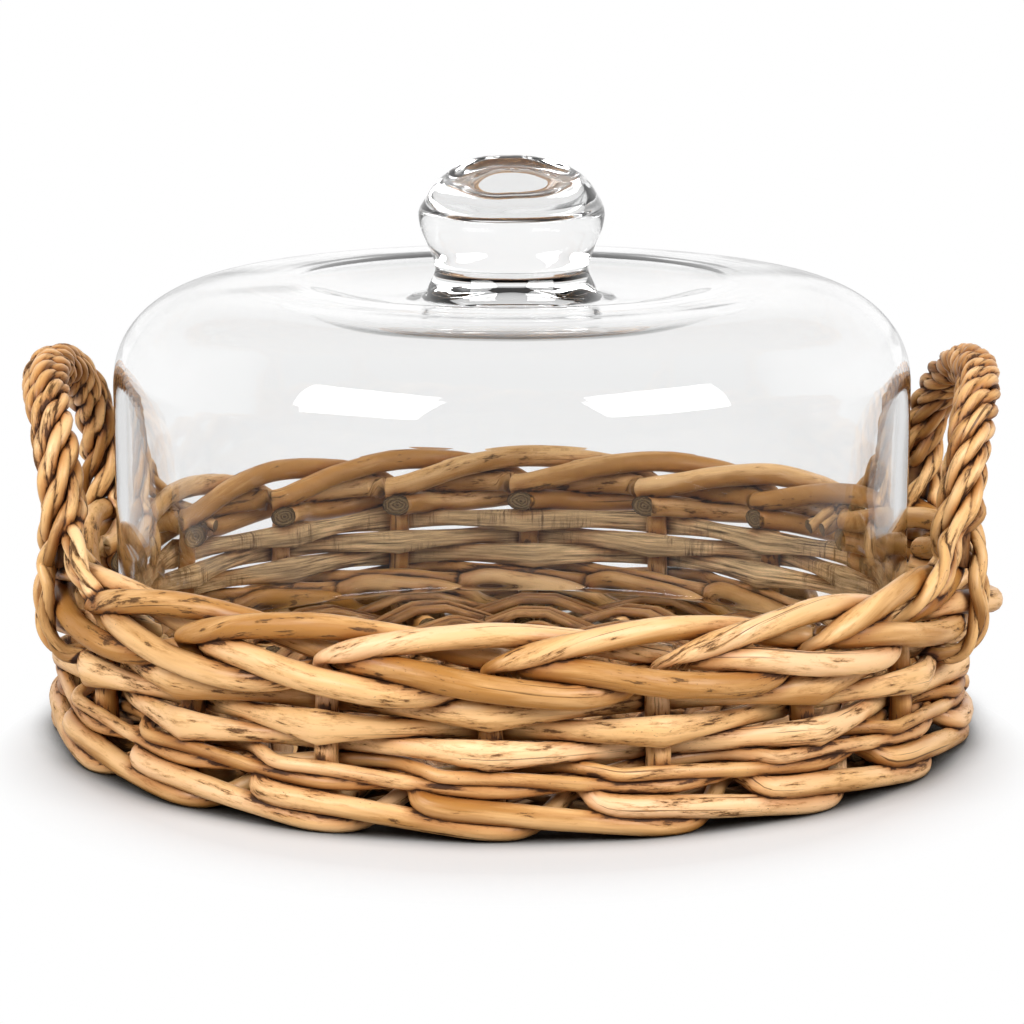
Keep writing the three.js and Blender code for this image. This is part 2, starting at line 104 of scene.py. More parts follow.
def bent_through(points, step):
    """A springy rod's line through points: a centripetal spline with a point every step."""
    ends = [points[0] * 2 - points[1], *points, points[-1] * 2 - points[-2]]
    line = []
    for p0, p1, p2, p3 in zip(ends, ends[1:], ends[2:], ends[3:]):
        t1 = math.sqrt((p1 - p0).length)
        t2 = t1 + math.sqrt((p2 - p1).length)
        t3 = t2 + math.sqrt((p3 - p2).length)
        count = max(1, round((p2 - p1).length / (step * MM)))
        for k in range(count):
            t = t1 + (t2 - t1) * k / count
            a1 = p0.lerp(p1, t / t1)
            a2 = p1.lerp(p2, (t - t1) / (t2 - t1))
            a3 = p2.lerp(p3, (t - t2) / (t3 - t2))
            b1 = a1.lerp(a2, t / t2)
            b2 = a2.lerp(a3, (t - t1) / (t3 - t1))
            line.append(b1.lerp(b2, (t - t1) / (t2 - t1)))
    line.append(points[-1].copy())
    return line


def way_at(line, i):
    """The direction of a line at one of its points."""
    return (line[min(i + 1, len(line) - 1)] - line[max(i - 1, 0)]).normalized()


def lengths_along(line):
    lengths = [0.0]
    for a, b in zip(line, line[1:]):
        lengths.append(lengths[-1] + (b - a).length)
    return lengths


def round_section(sides):
    """Outline of a whole rod, one unit across."""
    turns = [2 * math.pi * k / sides for k in range(sides)]
    return [(math.cos(turn) / 2, math.sin(turn) / 2) for turn in turns]


class Cane:
    """One rod on its way to a mesh: its surface points, faces and what its finish needs."""

    def __init__(self):
        self.points = []
        self.faces = []
        self.slots = []
        self.grain = []
        self.ring = []
        self.light_facing = []
        self.owner = []
        self.lines = []


def close_end(cane, ring, outward, turned):
    """The knife-cut end of a rod: its edge is rounded a little, and the pith is in the middle."""
    n = len(ring)
    middle = sum((cane.points[v] for v in ring), Vector()) / n
    inner = len(cane.points)
    for v in ring:
        cane.points.append(middle.lerp(cane.points[v], END_ROUNDING) + outward * END_DOMING * MM)
        cane.grain.append(cane.grain[v])
        cane.ring.append(END_ROUNDING)
        cane.light_facing.append(0)
    cane.points.append(middle + outward * PITH_OUT * MM)
    cane.grain.append(sum((cane.grain[v] for v in ring), Vector()) / n)
    cane.ring.append(0)
    cane.light_facing.append(0)
    for k in range(n):
        a, b = ring[k], ring[(k + 1) % n]
        c, d = inner + k, inner + (k + 1) % n
        cane.faces.append((a, b, d, c)[::turned])
        cane.faces.append((c, d, inner + n)[::turned])
        cane.slots += [1, 1]


def lay_rod(cane, line, section, size_at, side_at, seed, split_from=None, slant=0.5, knots=True,
            wander=0.0, cut_inward=0.0):
    """Sweeps a section along a line, with the small swellings and bud scars of a grown rod.

    size_at gives the width and height, and is asked once for each point of the line.
    """
    dice = random.Random(seed)
    drift = Vector((dice.uniform(0, 50), dice.uniform(0, 50), dice.uniform(0, 50)))
    first = len(cane.points)
    n = len(section)
    lengths = lengths_along(line)
    along = lengths[-1]
    knot_places = []
    place = dice.uniform(*FIRST_SCAR)
    while knots and place < along:
        knot_places.append((place, dice.uniform(0, 2 * math.pi), dice.uniform(0.4, 1)))
        place += dice.uniform(*SCARS_APART)
    last = len(line) - 1
    thickness = []
    for i, point in enumerate(line):
        tangent = way_at(line, i)
        side = side_at(point)
        side = (side - tangent * side.dot(tangent)).normalized()
        up = side.cross(tangent)
        s = lengths[i]
        width, height = size_at(s / along)
        thickness.append(max(width, height) / 2 * MM)
        swell = 1 + SWELLING * noise.noise(Vector((s * SWELLING_RATE, drift.x, drift.y)))
        centre = point.copy()
        if wander:
            centre += side * wander * MM * noise.noise(Vector((s * WANDER_RATE, drift.y, 1)))
            centre += up * wander * MM * noise.noise(Vector((s * WANDER_RATE, drift.z, 7)))
        cut = slant if i in (0, last) else 0
        for k, (a, b) in enumerate(section):
            angle = math.atan2(b, a)
            around = Vector((math.cos(angle) * LUMPS_AROUND, math.sin(angle) * LUMPS_AROUND,
                             s * LUMP_RATE))
            lump = LUMPS * noise.noise(around + drift)
            for where, facing, strength in knot_places:
                gap = abs(s - where)
                if gap < SCAR_REACH:
                    near = math.exp(-(gap / SCAR_HALF) ** 2)
                    bud = math.exp(-((math.remainder(angle - facing, 2 * math.pi)) / BUD_HALF) ** 2)
                    lump += near * strength * (SCAR_RISE + BUD_RISE * bud)
            grow = swell + lump
            offset = side * (a * width * grow * MM) + up * (b * height * grow * MM)
            ahead = cut * a * width * MM * (1 if i else -1)
            if cut_inward and i == last:
                ahead = cut_inward * offset.dot(facing_out(point))
            cane.points.append(centre + offset + tangent * ahead)
            cane.grain.append(Vector((a * width * MM, b * height * MM, s)) + drift)
            cane.ring.append(1)
            # How far this point faces up and out, for the painted light and shade in the rod's tone
            way = offset.normalized()
            cane.light_facing.append(way.z + PAINTED_LIGHT_OUTWARD * way.dot(facing_out(point)))
    for i in range(last):
        for k in range(n):
            a = first + i * n + k
            b = first + i * n + (k + 1) % n
            cane.faces.append((a, a + n, b + n, b))
            cane.slots.append(2 if split_from is not None and k >= split_from else 0)
    for i, turned in ((0, 1), (last, -1)):
        close_end(cane, [first + i * n + k for k in range(n)], way_at(line, i) * -turned, turned)
    cane.owner += [len(cane.lines)] * (len(cane.points) - first)
    cane.lines.append(list(zip(line, thickness)))
    return cane


def placed(name, data):
    """A new object, put into the scene."""
    made = bpy.data.objects.new(name, data)
    bpy.context.scene.collection.objects.link(made)
    return made


def finished(cane, name, node, finishes, tone):
    """A rod's mesh object, which rides on the basket in place of its plain solid."""
    mesh = bpy.data.meshes.new(name)
    mesh.from_pydata(cane.points, [], cane.faces)
    mesh.polygons.foreach_set("material_index", cane.slots)
    mesh.polygons.foreach_set("use_smooth", [s != 1 for s in cane.slots])
    grain = mesh.attributes.new("grain", "FLOAT_VECTOR", "POINT")
    grain.data.foreach_set("vector", [c for g in cane.grain for c in g])
    tones = mesh.attributes.new("tone", "FLOAT", "POINT")
    # The tone carries painted light and shade: lighter where the rod faces up and out, darker down and
    # in
    tones.data.foreach_set("value", [tone + TONE_LEVEL - PAINTED_LIGHT_SHARE * up for up in cane.light_facing])
    ring = mesh.attributes.new("ring", "FLOAT", "POINT")
    ring.data.foreach_set("value", cane.ring)
    for finish in finishes:
        mesh.materials.append(finish)
    piece = placed(name, mesh)
    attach(piece, "basket")
    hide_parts(node)
    rods.append((piece, cane))


def node_maker(tree):
    """A function that adds a node, with its inputs set or linked."""
    def node(kind, inputs=None, **settings):
        made = tree.nodes.new(kind)
        for key, value in settings.items():
            setattr(made, key, value)
        for key, value in (inputs or {}).items():
            if isinstance(value, bpy.types.NodeSocket):
                tree.links.new(value, made.inputs[key])
            else:
                made.inputs[key].default_value = value
        return made

    return node


def finish_nodes(name):
    """A new material, its node tree, its shader and the function that adds nodes."""
    material = bpy.data.materials.new(name)
    material.use_nodes = True
    tree = material.node_tree
    return material, tree, tree.nodes["Principled BSDF"], node_maker(tree)


def maths(node, kind, *values):
    return node("ShaderNodeMath", dict(enumerate(values)), operation=kind).outputs[0]


def remapped(node, value, low, high, to_low=0, to_high=1):
    return node("ShaderNodeMapRange", {"Value": value, "From Min": low, "From Max": high,
                                       "To Min": to_low, "To Max": to_high}).outputs["Result"]


def cloud(node, grain, across, along, detail, roughness=0.5):
    """A noise drawn out along the rod."""
    scaled = node("ShaderNodeVectorMath", {0: grain, 1: (across, across, along)}, operation="MULTIPLY")
    return node("ShaderNodeTexNoise", {"Vector": scaled.outputs["Vector"], "Scale": 1, "Detail": detail,
                                       "Roughness": roughness}).outputs["Fac"]


def marked(node, name, kind="Fac"):
    """A mark that the mesh carries at each point."""
    return node("ShaderNodeAttribute", attribute_name=name).outputs[kind]


def ramp(node, value, stops):
    """A colour that changes with a value, by stops of (value, colour)."""
    made = node("ShaderNodeValToRGB", {"Fac": value})
    elements = made.color_ramp.elements
    while len(elements) < len(stops):
        elements.new(0.5)
    for element, (position, colour) in zip(elements, stops):
        element.position = position
        element.color = (*colour, 1)
    return made.outputs["Color"]


def mixed(node, share, first, second, blend="MIX"):
    made = node("ShaderNodeMix", data_type="RGBA", blend_type=blend)
    tree = made.id_data
    for index, value in ((0, share), (6, first), (7, second)):
        if isinstance(value, bpy.types.NodeSocket):
            tree.links.new(value, made.inputs[index])
        else:
            made.inputs[index].default_value = value if index == 0 else (*value, 1)
    return made.outputs[2]


def willow_finish(name, light, middle, deep, bark, gloss, shade_strength=0.8):
    """Boiled willow skin: waxy and smooth, softly mottled, with pores and torn flecks of bark."""
    material, tree, shader, node = finish_nodes(name)
    grain, seam = marked(node, "grain", "Vector"), marked(node, "seam")
    patches = cloud(node, grain, 110, 14, 3, 0.55)
    fibres = cloud(node, grain, 1500, 70, 3, 0.55)
    streaks = cloud(node, grain, 330, 62, 6, 0.72)
    body = maths(node, "MULTIPLY_ADD", marked(node, "tone"), 0.42, patches)
    body = maths(node, "MULTIPLY_ADD", fibres, 0.14, body)
    skin = ramp(node, body, ((0.5, light), (0.76, middle), (1.02, deep)))
    # Pores
    pores = ramp(node, cloud(node, grain, 1900, 1100, 2, 0.55), ((0.66, BLACK), (0.74, (0.8, 0.8, 0.8))))
    where = ramp(node, cloud(node, grain, 70, 24, 2, 0.55), ((0.48, BLACK), (0.6, WHITE)))
    fleck = maths(node, "MULTIPLY", pores, where)
    skin = mixed(node, fleck, skin, bark)
    # Hair cracks along the grain
    cracks = ramp(node, cloud(node, grain, 620, 9, 3, 0.6), ((0.3, (0.85, 0.85, 0.85)), (0.345, BLACK)))
    skin = mixed(node, cracks, skin, bark)
    # Bark left on in torn flecks, most of it low in the joints
    raised = maths(node, "MULTIPLY_ADD", seam, 0.2, streaks)
    raised = maths(node, "MULTIPLY_ADD", cloud(node, grain, 50, 13, 2, 0.55), 0.3, raised)
    stain = ramp(node, raised, ((0.76, BLACK), (0.785, (0.75, 0.75, 0.75)), (0.86, WHITE)))
    edge = ramp(node, raised, ((0.66, BLACK), (0.79, (0.8, 0.8, 0.8))))
    skin = mixed(node, edge, skin, deep)
    skin = mixed(node, stain, skin, bark)
    # Painted shade between neighbouring rods, then dust in the joints
    skin = mixed(node, maths(node, "MULTIPLY", marked(node, "shade"), shade_strength), skin, SHADE, "MULTIPLY")
    dust = maths(node, "MULTIPLY", maths(node, "MULTIPLY", seam, seam),
                 maths(node, "MULTIPLY_ADD", streaks, 0.8, 0.5))
    skin = mixed(node, dust, skin, GRIME)
    tree.links.new(skin, shader.inputs["Base Color"])
    tree.links.new(remapped(node, raised, 0.6, 0.85, gloss, gloss + 0.35), shader.inputs["Roughness"])
    low = maths(node, "MULTIPLY_ADD", fleck, -0.4, patches)
    low = maths(node, "MULTIPLY_ADD", fibres, 0.3, low)
    height = maths(node, "MULTIPLY_ADD", stain, 0.3, low)
    bump = node("ShaderNodeBump", {"Strength": 0.6, "Distance": 0.0007, "Height": height})
    tree.links.new(bump.outputs["Normal"], shader.inputs["Normal"])
    shader.inputs["IOR"].default_value = 1.5
    shader.inputs["Specular IOR Level"].default_value = 0.32
    return material


def cut_finish(name, wood, pith):
    """The knife-cut end of a rod: rings of grey-brown wood in a dark skin, with a dark pith."""
    material, tree, shader, node = finish_nodes(name)
    ring = marked(node, "ring")
    rough = cloud(node, marked(node, "grain", "Vector"), 700, 700, 4)
    bent = maths(node, "MULTIPLY_ADD", rough, 0.35, ring)
    waves = maths(node, "SINE", maths(node, "MULTIPLY", bent, 24))
    level = remapped(node, waves, -1, 1, 0.2, 1)
    face = mixed(node, level, pith, wood)
    skin = ramp(node, ring, ((0.0, WHITE), (0.12, (0.25, 0.25, 0.25)), (0.2, BLACK), (0.84, BLACK),
                             (0.95, WHITE)))
    tree.links.new(mixed(node, skin, face, GRIME), shader.inputs["Base Color"])
    bump = node("ShaderNodeBump", {"Strength": 0.7, "Distance": 0.0006, "Height": level})
    tree.links.new(bump.outputs["Normal"], shader.inputs["Normal"])
    shader.inputs["Roughness"].default_value = 0.8
    return material


BLACK = (0, 0, 0)
WHITE = (1, 1, 1)
BARK = (0.09, 0.037, 0.009)
GRIME = (0.03, 0.009, 0.001)
# The colour that painted shade between rods multiplies in
SHADE = (0.5, 0.28, 0.11)
# A darker copy of the willow, as painted shade for the base inside the basket; the handle cores inside
# their ropes take it too
shaded_base_willow = willow_finish("shaded_base_willow", (0.41, 0.22, 0.088), (0.23, 0.106, 0.033), (0.1, 0.04, 0.011),
                            BARK, 0.45)
cut_willow = cut_finish("cut_willow", (0.24, 0.145, 0.06), (0.05, 0.026, 0.01))
ROUND_10 = round_section(10)
ROUND_14 = round_section(14)


def base_stick(index):
    """A spoke, bent from its bundle at the crossing out to its place in the fan, at both ends."""
    upper_count = math.ceil(BASE_STICKS / 2)
    in_upper = index < upper_count
    count = upper_count if in_upper else BASE_STICKS - upper_count
    place = (index if in_upper else index - upper_count) - (count - 1) / 2
    middle = (0 if in_upper else upper_count) + (count - 1) / 2
    bundle = math.radians(FRONT_STAKE_ANGLE - STICK_BESIDE_STAKE + middle * PITCH)
    ahead = Vector((math.sin(bundle), -math.cos(bundle), 0))
    aside = Vector((math.cos(bundle), math.sin(bundle), 0))
    lift = (1 if in_upper else -1) * (STICK_D + FIT) / 2
    fan = math.radians(place * PITCH)
    half = [
        (SLATH_HALF, place * SLATH_SPACING, BASE_Z + lift),
        (SLATH_FAN_R * math.cos(fan), SLATH_FAN_R * math.sin(fan), BASE_Z),
        (STICK_END_R * math.cos(fan), STICK_END_R * math.sin(fan), BASE_Z),
    ]
    points = [(ahead * (sign * along) + aside * beside + Vector((0, 0, z))) * MM
              for sign, keys in ((-1, half[::-1]), (1, half)) for along, beside, z in keys]
    cane = lay_rod(Cane(), bent_through(points, STICK_STEP), ROUND_10, lambda share: (STICK_D, STICK_D),
                   lambda p: aside, seed=f"stick {index}")
    tone = random.Random(f"stick tone {index}").uniform(0.2, 0.8)
    finished(cane, f"base_spoke_{index + 1:02d}", f"base_stick_{index + 1:02d}",
             [shaded_base_willow, cut_willow], tone)


for index in range(BASE_STICKS):
    base_stick(index)

# Base rounds
# Seven rounds of flat split willow and, in the middle, three of fine whole rod. Each goes over
# one spoke and under the next, and is pressed hard in against the round before it.
STAKE_D = 7.5
FOOT_INNER_R = 112
STRIP_WIDTH = 9.6
STRIP_THICKNESS = 3
STRIP_ROWS = 7
STRIP_ROW_PITCH = 12.2
STRIP_OUTER_R = 143.4
FINE_ROD_D = 4.4
FINE_ROD_ROWS = 3
FINE_ROD_PITCH = 9.4
FINE_ROD_OUTER_R = 61.9
ROUND_START_STEP = 5
ROUND_HOLD = 0.55
ROUND_STEP = 2.6
STRIP_SIDE_GAP = 0.2
STRIP_OUTLINE = [(0.5, -0.22), (0.5, 0.22), (0.44, 0.44), (0.25, 0.5), (0, 0.52), (-0.25, 0.5),
                 (-0.44, 0.44), (-0.5, 0.22), (-0.5, -0.22), (-0.44, -0.44), (-0.2, -0.5), (0.2, -0.5),
                 (0.44, -0.44)]


def split_finish(name, light, deep, grey):
    """The split face of willow: open torn grain, weathered grey, with dark checks across it."""
    material, tree, shader, node = finish_nodes(name)
    grain = marked(node, "grain", "Vector")
    fibres = cloud(node, grain, 900, 36, 6, 0.7)
    wood = ramp(node, fibres, ((0.38, deep), (0.47, grey), (0.6, light)))
    weather = ramp(node, cloud(node, grain, 90, 22, 3, 0.6), ((0.4, BLACK), (0.55, (0.9, 0.9, 0.9))))
    wood = mixed(node, weather, wood, mixed(node, 0.6, wood, grey))
    across = ramp(node, cloud(node, grain, 70, 900, 3, 0.7), ((0.5, BLACK), (0.62, WHITE)))
    where = ramp(node, cloud(node, grain, 40, 30, 2, 0.6), ((0.5, BLACK), (0.62, (0.85, 0.85, 0.85))))
    wood = mixed(node, maths(node, "MULTIPLY", across, where), wood, BARK)
    cracks = ramp(node, cloud(node, grain, 620, 14, 4, 0.7), ((0.3, WHITE), (0.38, BLACK)))
    wood = mixed(node, cracks, wood, GRIME)
    # Painted shade between neighbouring rods, then dust in the joints
    wood = mixed(node, marked(node, "shade"), wood, SHADE, "MULTIPLY")
    wood = mixed(node, maths(node, "MULTIPLY", marked(node, "seam"), 0.85), wood, GRIME)
    tree.links.new(wood, shader.inputs["Base Color"])
    torn = maths(node, "MULTIPLY_ADD", cracks, -0.6, fibres)
    bump = node("ShaderNodeBump", {"Strength": 0.9, "Distance": 0.0009, "Height": torn})
    tree.links.new(bump.outputs["Normal"], shader.inputs["Normal"])
    shader.inputs["Roughness"].default_value = 0.78
    return material


def base_round(number, rounds, width, thickness, section, piece_name, node_name):
    """Rounds of one rod or strip, which start by their own spoke and change sides at each."""
    cane = Cane()
    for r, first_over in rounds:
        holds_feet = r - STRIP_WIDTH / 2 > FOOT_INNER_R - STRIP_ROW_PITCH
        carried = (STAKE_D if holds_feet else STICK_D) / 2
        centre = (-0.5 if holds_feet else -1) * STICK_BESIDE_STAKE / PITCH
        rise = carried + FIT + thickness / 2
        hold = math.degrees((carried + FIT) / r) / PITCH * ROUND_HOLD
        hold += STICK_BESIDE_STAKE / 2 / PITCH if holds_feet else 0
        gap = math.degrees(FIT / r) / PITCH
        first = centre + number * ROUND_START_STEP
        dice = random.Random(f"round {number} {r}")
        places = [(first - 0.5 + gap, BASE_Z)]
        for k in range(STAKES):
            z = BASE_Z + rise * (1 if (k + first_over) % 2 == 0 else -1) * dice.uniform(0.9, 1.05)
            slip = dice.uniform(-0.03, 0.03)
            places += [(first + k - hold + slip, z), (first + k + slip, z), (first + k + hold + slip, z)]
        places.append((first + STAKES - 0.5 - gap, BASE_Z))
        line = []
        for (turn_a, z_a), (turn_b, z_b) in zip(places, places[1:]):
            steps = max(1, round(math.radians((turn_b - turn_a) * PITCH) * r / ROUND_STEP))
            line += [wall_point(turn_a + (turn_b - turn_a) * i / steps, r, z_a + (z_b - z_a) * i / steps)
                     for i in range(steps)]
        line.append(wall_point(places[-1][0], r, places[-1][1]))
        lay_rod(cane, line, section, lambda share: (width, thickness), facing_out, slant=0.1,
                knots=False, seed=f"round {number} {r}", wander=0.35)
    finished(cane, piece_name, node_name, [shaded_base_willow, cut_willow],
             random.Random(f"round tone {number}").uniform(0.1, 0.7))


# Each round is a pair that takes turns over a spoke
for row in range(STRIP_ROWS):
    r = STRIP_OUTER_R - row * STRIP_ROW_PITCH
    pair = [(r + STRIP_ROW_PITCH / 4, 0), (r - STRIP_ROW_PITCH / 4, 1)]
    base_round(row, pair, STRIP_ROW_PITCH / 2 - STRIP_SIDE_GAP, STRIP_THICKNESS, STRIP_OUTLINE,
               f"base_split_{row + 1:02d}", f"base_strip_{row + 1:02d}")
for row in range(FINE_ROD_ROWS):
    r = FINE_ROD_OUTER_R - row * FINE_ROD_PITCH
    pair = [(r + FINE_ROD_PITCH / 4, 0), (r - FINE_ROD_PITCH / 4, 1)]
    base_round(STRIP_ROWS + row, pair, FINE_ROD_D, FINE_ROD_D, ROUND_10,
               f"base_round_{row + 1:02d}", f"base_fine_rod_{row + 1:02d}")

# Stakes and border
# Eighteen stout willow rods come out of the base, stand up as the wall and are laid down, soaked,
# into the border: over the next, behind the second, in front of two, and in to a cut end.
WALL_R = 160
FOOT_BEND_R = 5
WEAVE_TOP = 47.25
ROD_WIDTH = STAKE_D + FIT
STAKE_FULLNESS = 1.12
STAKE_STEP = 2.4
# Way of a stake in the border: stakes passed, rods outwards, rods up from the top of the weave
BORDER_PASS = [
    (-0.01, 0.02, 0.55),
    (-0.02, 0.42, 1.15),
    (0.03, 0.85, 1.5),
    (0.2, 0.98, 1.9),
    (0.5, 0.94, 2.4),
    (1, 0.4, 2.72),
    (1.5, -0.2, 2.3),
    (1.78, -0.46, 1.82),
    (2, -0.54, 1.45),
    (2.1, -0.3, 1.34),
    (2.2, 0.35, 1.38),
    (2.5, 1.08, 1.26),
    (3, 1.36, 0.6),
    (3.5, 1.16, 0.2),
    (3.72, 0.6, 0.3),
    (3.86, -0.2, 0.5),
    (4.05, -1, 0.55),
]
# The heel, where a stake is laid over, is bruised thin, and it is a little fuller where it comes to
# the front again. One stake loops out of the border.
HEEL = 0.283
HEEL_PINCH = 0.48
HEEL_HALF = 0.028
SECOND_PASS = 0.72
SECOND_SWELL = 0.05
SECOND_HALF = 0.14
LOOPING_STAKE = 1
LOOP_OUT = 0.85
LOOP_AT = 3
LOOP_HALF = 0.25
stake_willow = willow_finish("stake_willow", (0.86, 0.545, 0.3), (0.77, 0.46, 0.2),
                             (0.42, 0.19, 0.045), BARK, 0.32)


def stake(index):
    """A stake, from under the base up the wall and through the border to its cut end."""
    points = [
        wall_point(index, FOOT_INNER_R, BASE_Z),
        wall_point(index, WALL_R - FOOT_BEND_R, BASE_Z),
        wall_point(index, WALL_R, BASE_Z + FOOT_BEND_R),
    ]
    for turn, out, up in BORDER_PASS:
        if index == LOOPING_STAKE:
            out += LOOP_OUT * math.exp(-((turn - LOOP_AT) / LOOP_HALF) ** 2)
        points.append(wall_point(index + turn, WALL_R + out * ROD_WIDTH, WEAVE_TOP + up * ROD_WIDTH))
    dice = random.Random(f"stake {index}")
    fullness = STAKE_FULLNESS * dice.uniform(0.95, 1.06)

    def size_at(share):
        pinch = 1 - HEEL_PINCH * math.exp(-((share - HEEL) / HEEL_HALF) ** 2)
        swell = SECOND_SWELL * math.exp(-((share - SECOND_PASS) / SECOND_HALF) ** 2)
        thick = STAKE_D * fullness * (pinch + swell)
        return thick, thick

    across = facing_out(points[0]).cross(Vector((0, 0, 1)))
    cane = lay_rod(Cane(), bent_through(points, STAKE_STEP), ROUND_14, size_at, lambda p: across,
                   slant=0.45, seed=f"stake {index}", wander=0.5, cut_inward=1.3)
    finished(cane, f"stake_and_border_{index + 1:02d}", f"stake_{index + 1:02d}",
             [stake_willow, cut_willow], dice.uniform(0.25, 1.2))


for index in range(STAKES):
    stake(index)

# Foot wale
# Three thick rods run round the foot of the wall together. Each passes in front of two stakes and
# behind one, and they carry the basket on the table, so their undersides are worn flat.
FOOT_WALE_D = 7
FOOT_WALE_LOW = 2.53
FOOT_WALE_HIGH = 10.13
FOOT_WALE_INSIDE = 15.55
WALE_RODS = 3
ROD_END_TURN = 0.04
FOOT_WALE_FULLNESS = 1.08
FOOT_WALE_WAIST = 0.84
FOOT_WALE_BELLY = 0.24
FOOT_WALE_STEP = 2.4
GROUND_WEAR = 0.47
# Way of a wale rod over three stakes: stakes passed, outside (1) or inside (-1), height
FOOT_WALE_KEYS = [
    (0, -1.28, FOOT_WALE_INSIDE + 0.4 * FOOT_WALE_D),
    (0.34, -1.15, FOOT_WALE_INSIDE + 0.7 * FOOT_WALE_D),
    (0.54, -0.15, FOOT_WALE_INSIDE + 0.1 * FOOT_WALE_D),
    (0.63, 0.9, FOOT_WALE_HIGH + 0.3 * FOOT_WALE_D),
    (0.76, 1.08, FOOT_WALE_HIGH + 0.12 * FOOT_WALE_D),
    (1, 1.02, FOOT_WALE_HIGH - 0.03 * FOOT_WALE_D),
    (1.5, 1, 0.5 * (FOOT_WALE_HIGH + FOOT_WALE_LOW) + 0.08 * FOOT_WALE_D),
    (2, 1, FOOT_WALE_LOW),
    (2.18, 0.66, FOOT_WALE_LOW + 0.1 * FOOT_WALE_D),
    (2.34, -0.1, FOOT_WALE_LOW + 0.6 * FOOT_WALE_D),
    (2.5, -0.95, FOOT_WALE_LOW + 1.45 * FOOT_WALE_D),
    (2.72, -1.25, FOOT_WALE_INSIDE + 0.08 * FOOT_WALE_D),
]


def reach_past_stake(diameter):
    """From the middle of the wall to the middle of a rod that lies against a stake."""
    return STAKE_D / 2 + FIT + diameter / 2


def wale_line(keys, start, reach, lowest, step):
    """A wale rod's line round the wall: its way over three stakes, again and again."""
    stops = [[turn + u, side, z] for turn in range(0, STAKES, WALE_RODS) for u, side, z in keys]
    stops.append([STAKES - ROD_END_TURN, keys[0][1], keys[0][2]])
    stops[0][0] += ROD_END_TURN
    return bent_through([wall_point(start + turn, WALL_R + side * reach, max(z, lowest))
                         for turn, side, z in stops], step)


for index in range(WALE_RODS):
    line = wale_line(FOOT_WALE_KEYS, index, reach_past_stake(FOOT_WALE_D), GROUND_WEAR * FOOT_WALE_D,
                     FOOT_WALE_STEP)

    def size_at(share):
        passed = share * STAKES % WALE_RODS
        in_front = smoothstep(passed, 0.45, 0.75) * (1 - smoothstep(passed, 0.9, 2.6))
        thick = FOOT_WALE_WAIST + FOOT_WALE_BELLY * in_front
        thick *= FOOT_WALE_D * FOOT_WALE_FULLNESS
        return thick, thick

    cane = lay_rod(Cane(), line, ROUND_14, size_at, facing_out, seed=f"foot {index}", wander=0.5)
    for point in cane.points:
        point.z = max(point.z, 0)
    finished(cane, f"foot_wale_rod_{index + 1:02d}", f"foot_wale_{index + 1:02d}",
             [stake_willow, cut_willow], 0.2 + 0.3 * index)

# Upper wale
# Three thin rods laid the same way just over the foot wale. They lock it down and give the split
# rods an even bed.
UPPER_WALE_D = 4.2
UPPER_WALE_LOW = 16.33
UPPER_WALE_HIGH = 20.98
UPPER_WALE_INSIDE = 21.45
UPPER_WALE_FULLNESS = 1.2
UPPER_WALE_STEP = 2.2
UPPER_WALE_KEYS = [
    (0, -1, UPPER_WALE_INSIDE),
    (0.42, -0.7, UPPER_WALE_INSIDE + 0.2 * UPPER_WALE_D),
    (0.62, 0.6, UPPER_WALE_INSIDE + 0.2 * UPPER_WALE_D),
    (0.72, 1.05, UPPER_WALE_HIGH + 0.1 * UPPER_WALE_D),
    (1, 1, UPPER_WALE_HIGH),
    (2, 1, UPPER_WALE_LOW),
    (2.3, 0.55, UPPER_WALE_LOW + 0.2 * UPPER_WALE_D),
    (2.5, -0.1, UPPER_WALE_LOW + 0.32 * UPPER_WALE_D),
    (2.7, -0.8, UPPER_WALE_LOW + 0.62 * UPPER_WALE_D),
]
thin_willow = willow_finish("thin_willow", (0.83, 0.52, 0.26), (0.66, 0.37, 0.14), (0.36, 0.16, 0.04),
                            BARK, 0.34)

for index in range(WALE_RODS):
    line = wale_line(UPPER_WALE_KEYS, index + 1, reach_past_stake(UPPER_WALE_D), 0, UPPER_WALE_STEP)
    thin = UPPER_WALE_D * UPPER_WALE_FULLNESS
    cane = lay_rod(Cane(), line, ROUND_10, lambda share: (thin, thin), facing_out,
                   seed=f"upper {index}", wander=0.3)
    finished(cane, f"upper_wale_rod_{index + 1:02d}", f"upper_wale_{index + 1:02d}",
             [thin_willow, cut_willow], 0.25 + 0.25 * index)

# Split rows
# Three rows of thick rod split down its middle, round side out and flat side in, in front of one
# stake and behind the next. Dry and stiff, they kink on each stake and stay straight between.
SPLIT_ROWS = 3
SPLIT_THICKNESS = 5.5
SPLIT_HEIGHT = 9
SPLIT_PINCH = 6.3
SPLIT_FIRST_Z = 28.35
SPLIT_ROW_PITCH = 7.2
SPLIT_FULLNESS = 1.12
KINK_STEPS = 20
ARC_POINTS = 11
ARC_HALF = math.radians(100)


def split_outline():
    """Outline of a split rod, one unit across: round side out, then the flat, torn side in."""
    turns = [ARC_HALF * (2 * k / (ARC_POINTS - 1) - 1) for k in range(ARC_POINTS)]
    arc = [(0.5 * math.cos(turn), 0.5 * math.sin(turn)) for turn in turns]
    rounded = [(0.868 * a + 0.064 if a < 0 else a, b) for a, b in arc]
    flat = [(-0.45, 0.4), (-0.5, 0.2), (-0.48, 0), (-0.5, -0.2), (-0.45, -0.4)]
    return rounded + flat


row_willow = willow_finish("row_willow", (0.9, 0.575, 0.3), (0.77, 0.455, 0.19), (0.4, 0.18, 0.045),
                           BARK, 0.34)
inner_face = split_finish("inner_face", (0.98, 0.66, 0.35), (0.075, 0.035, 0.012), (0.51, 0.325, 0.155))


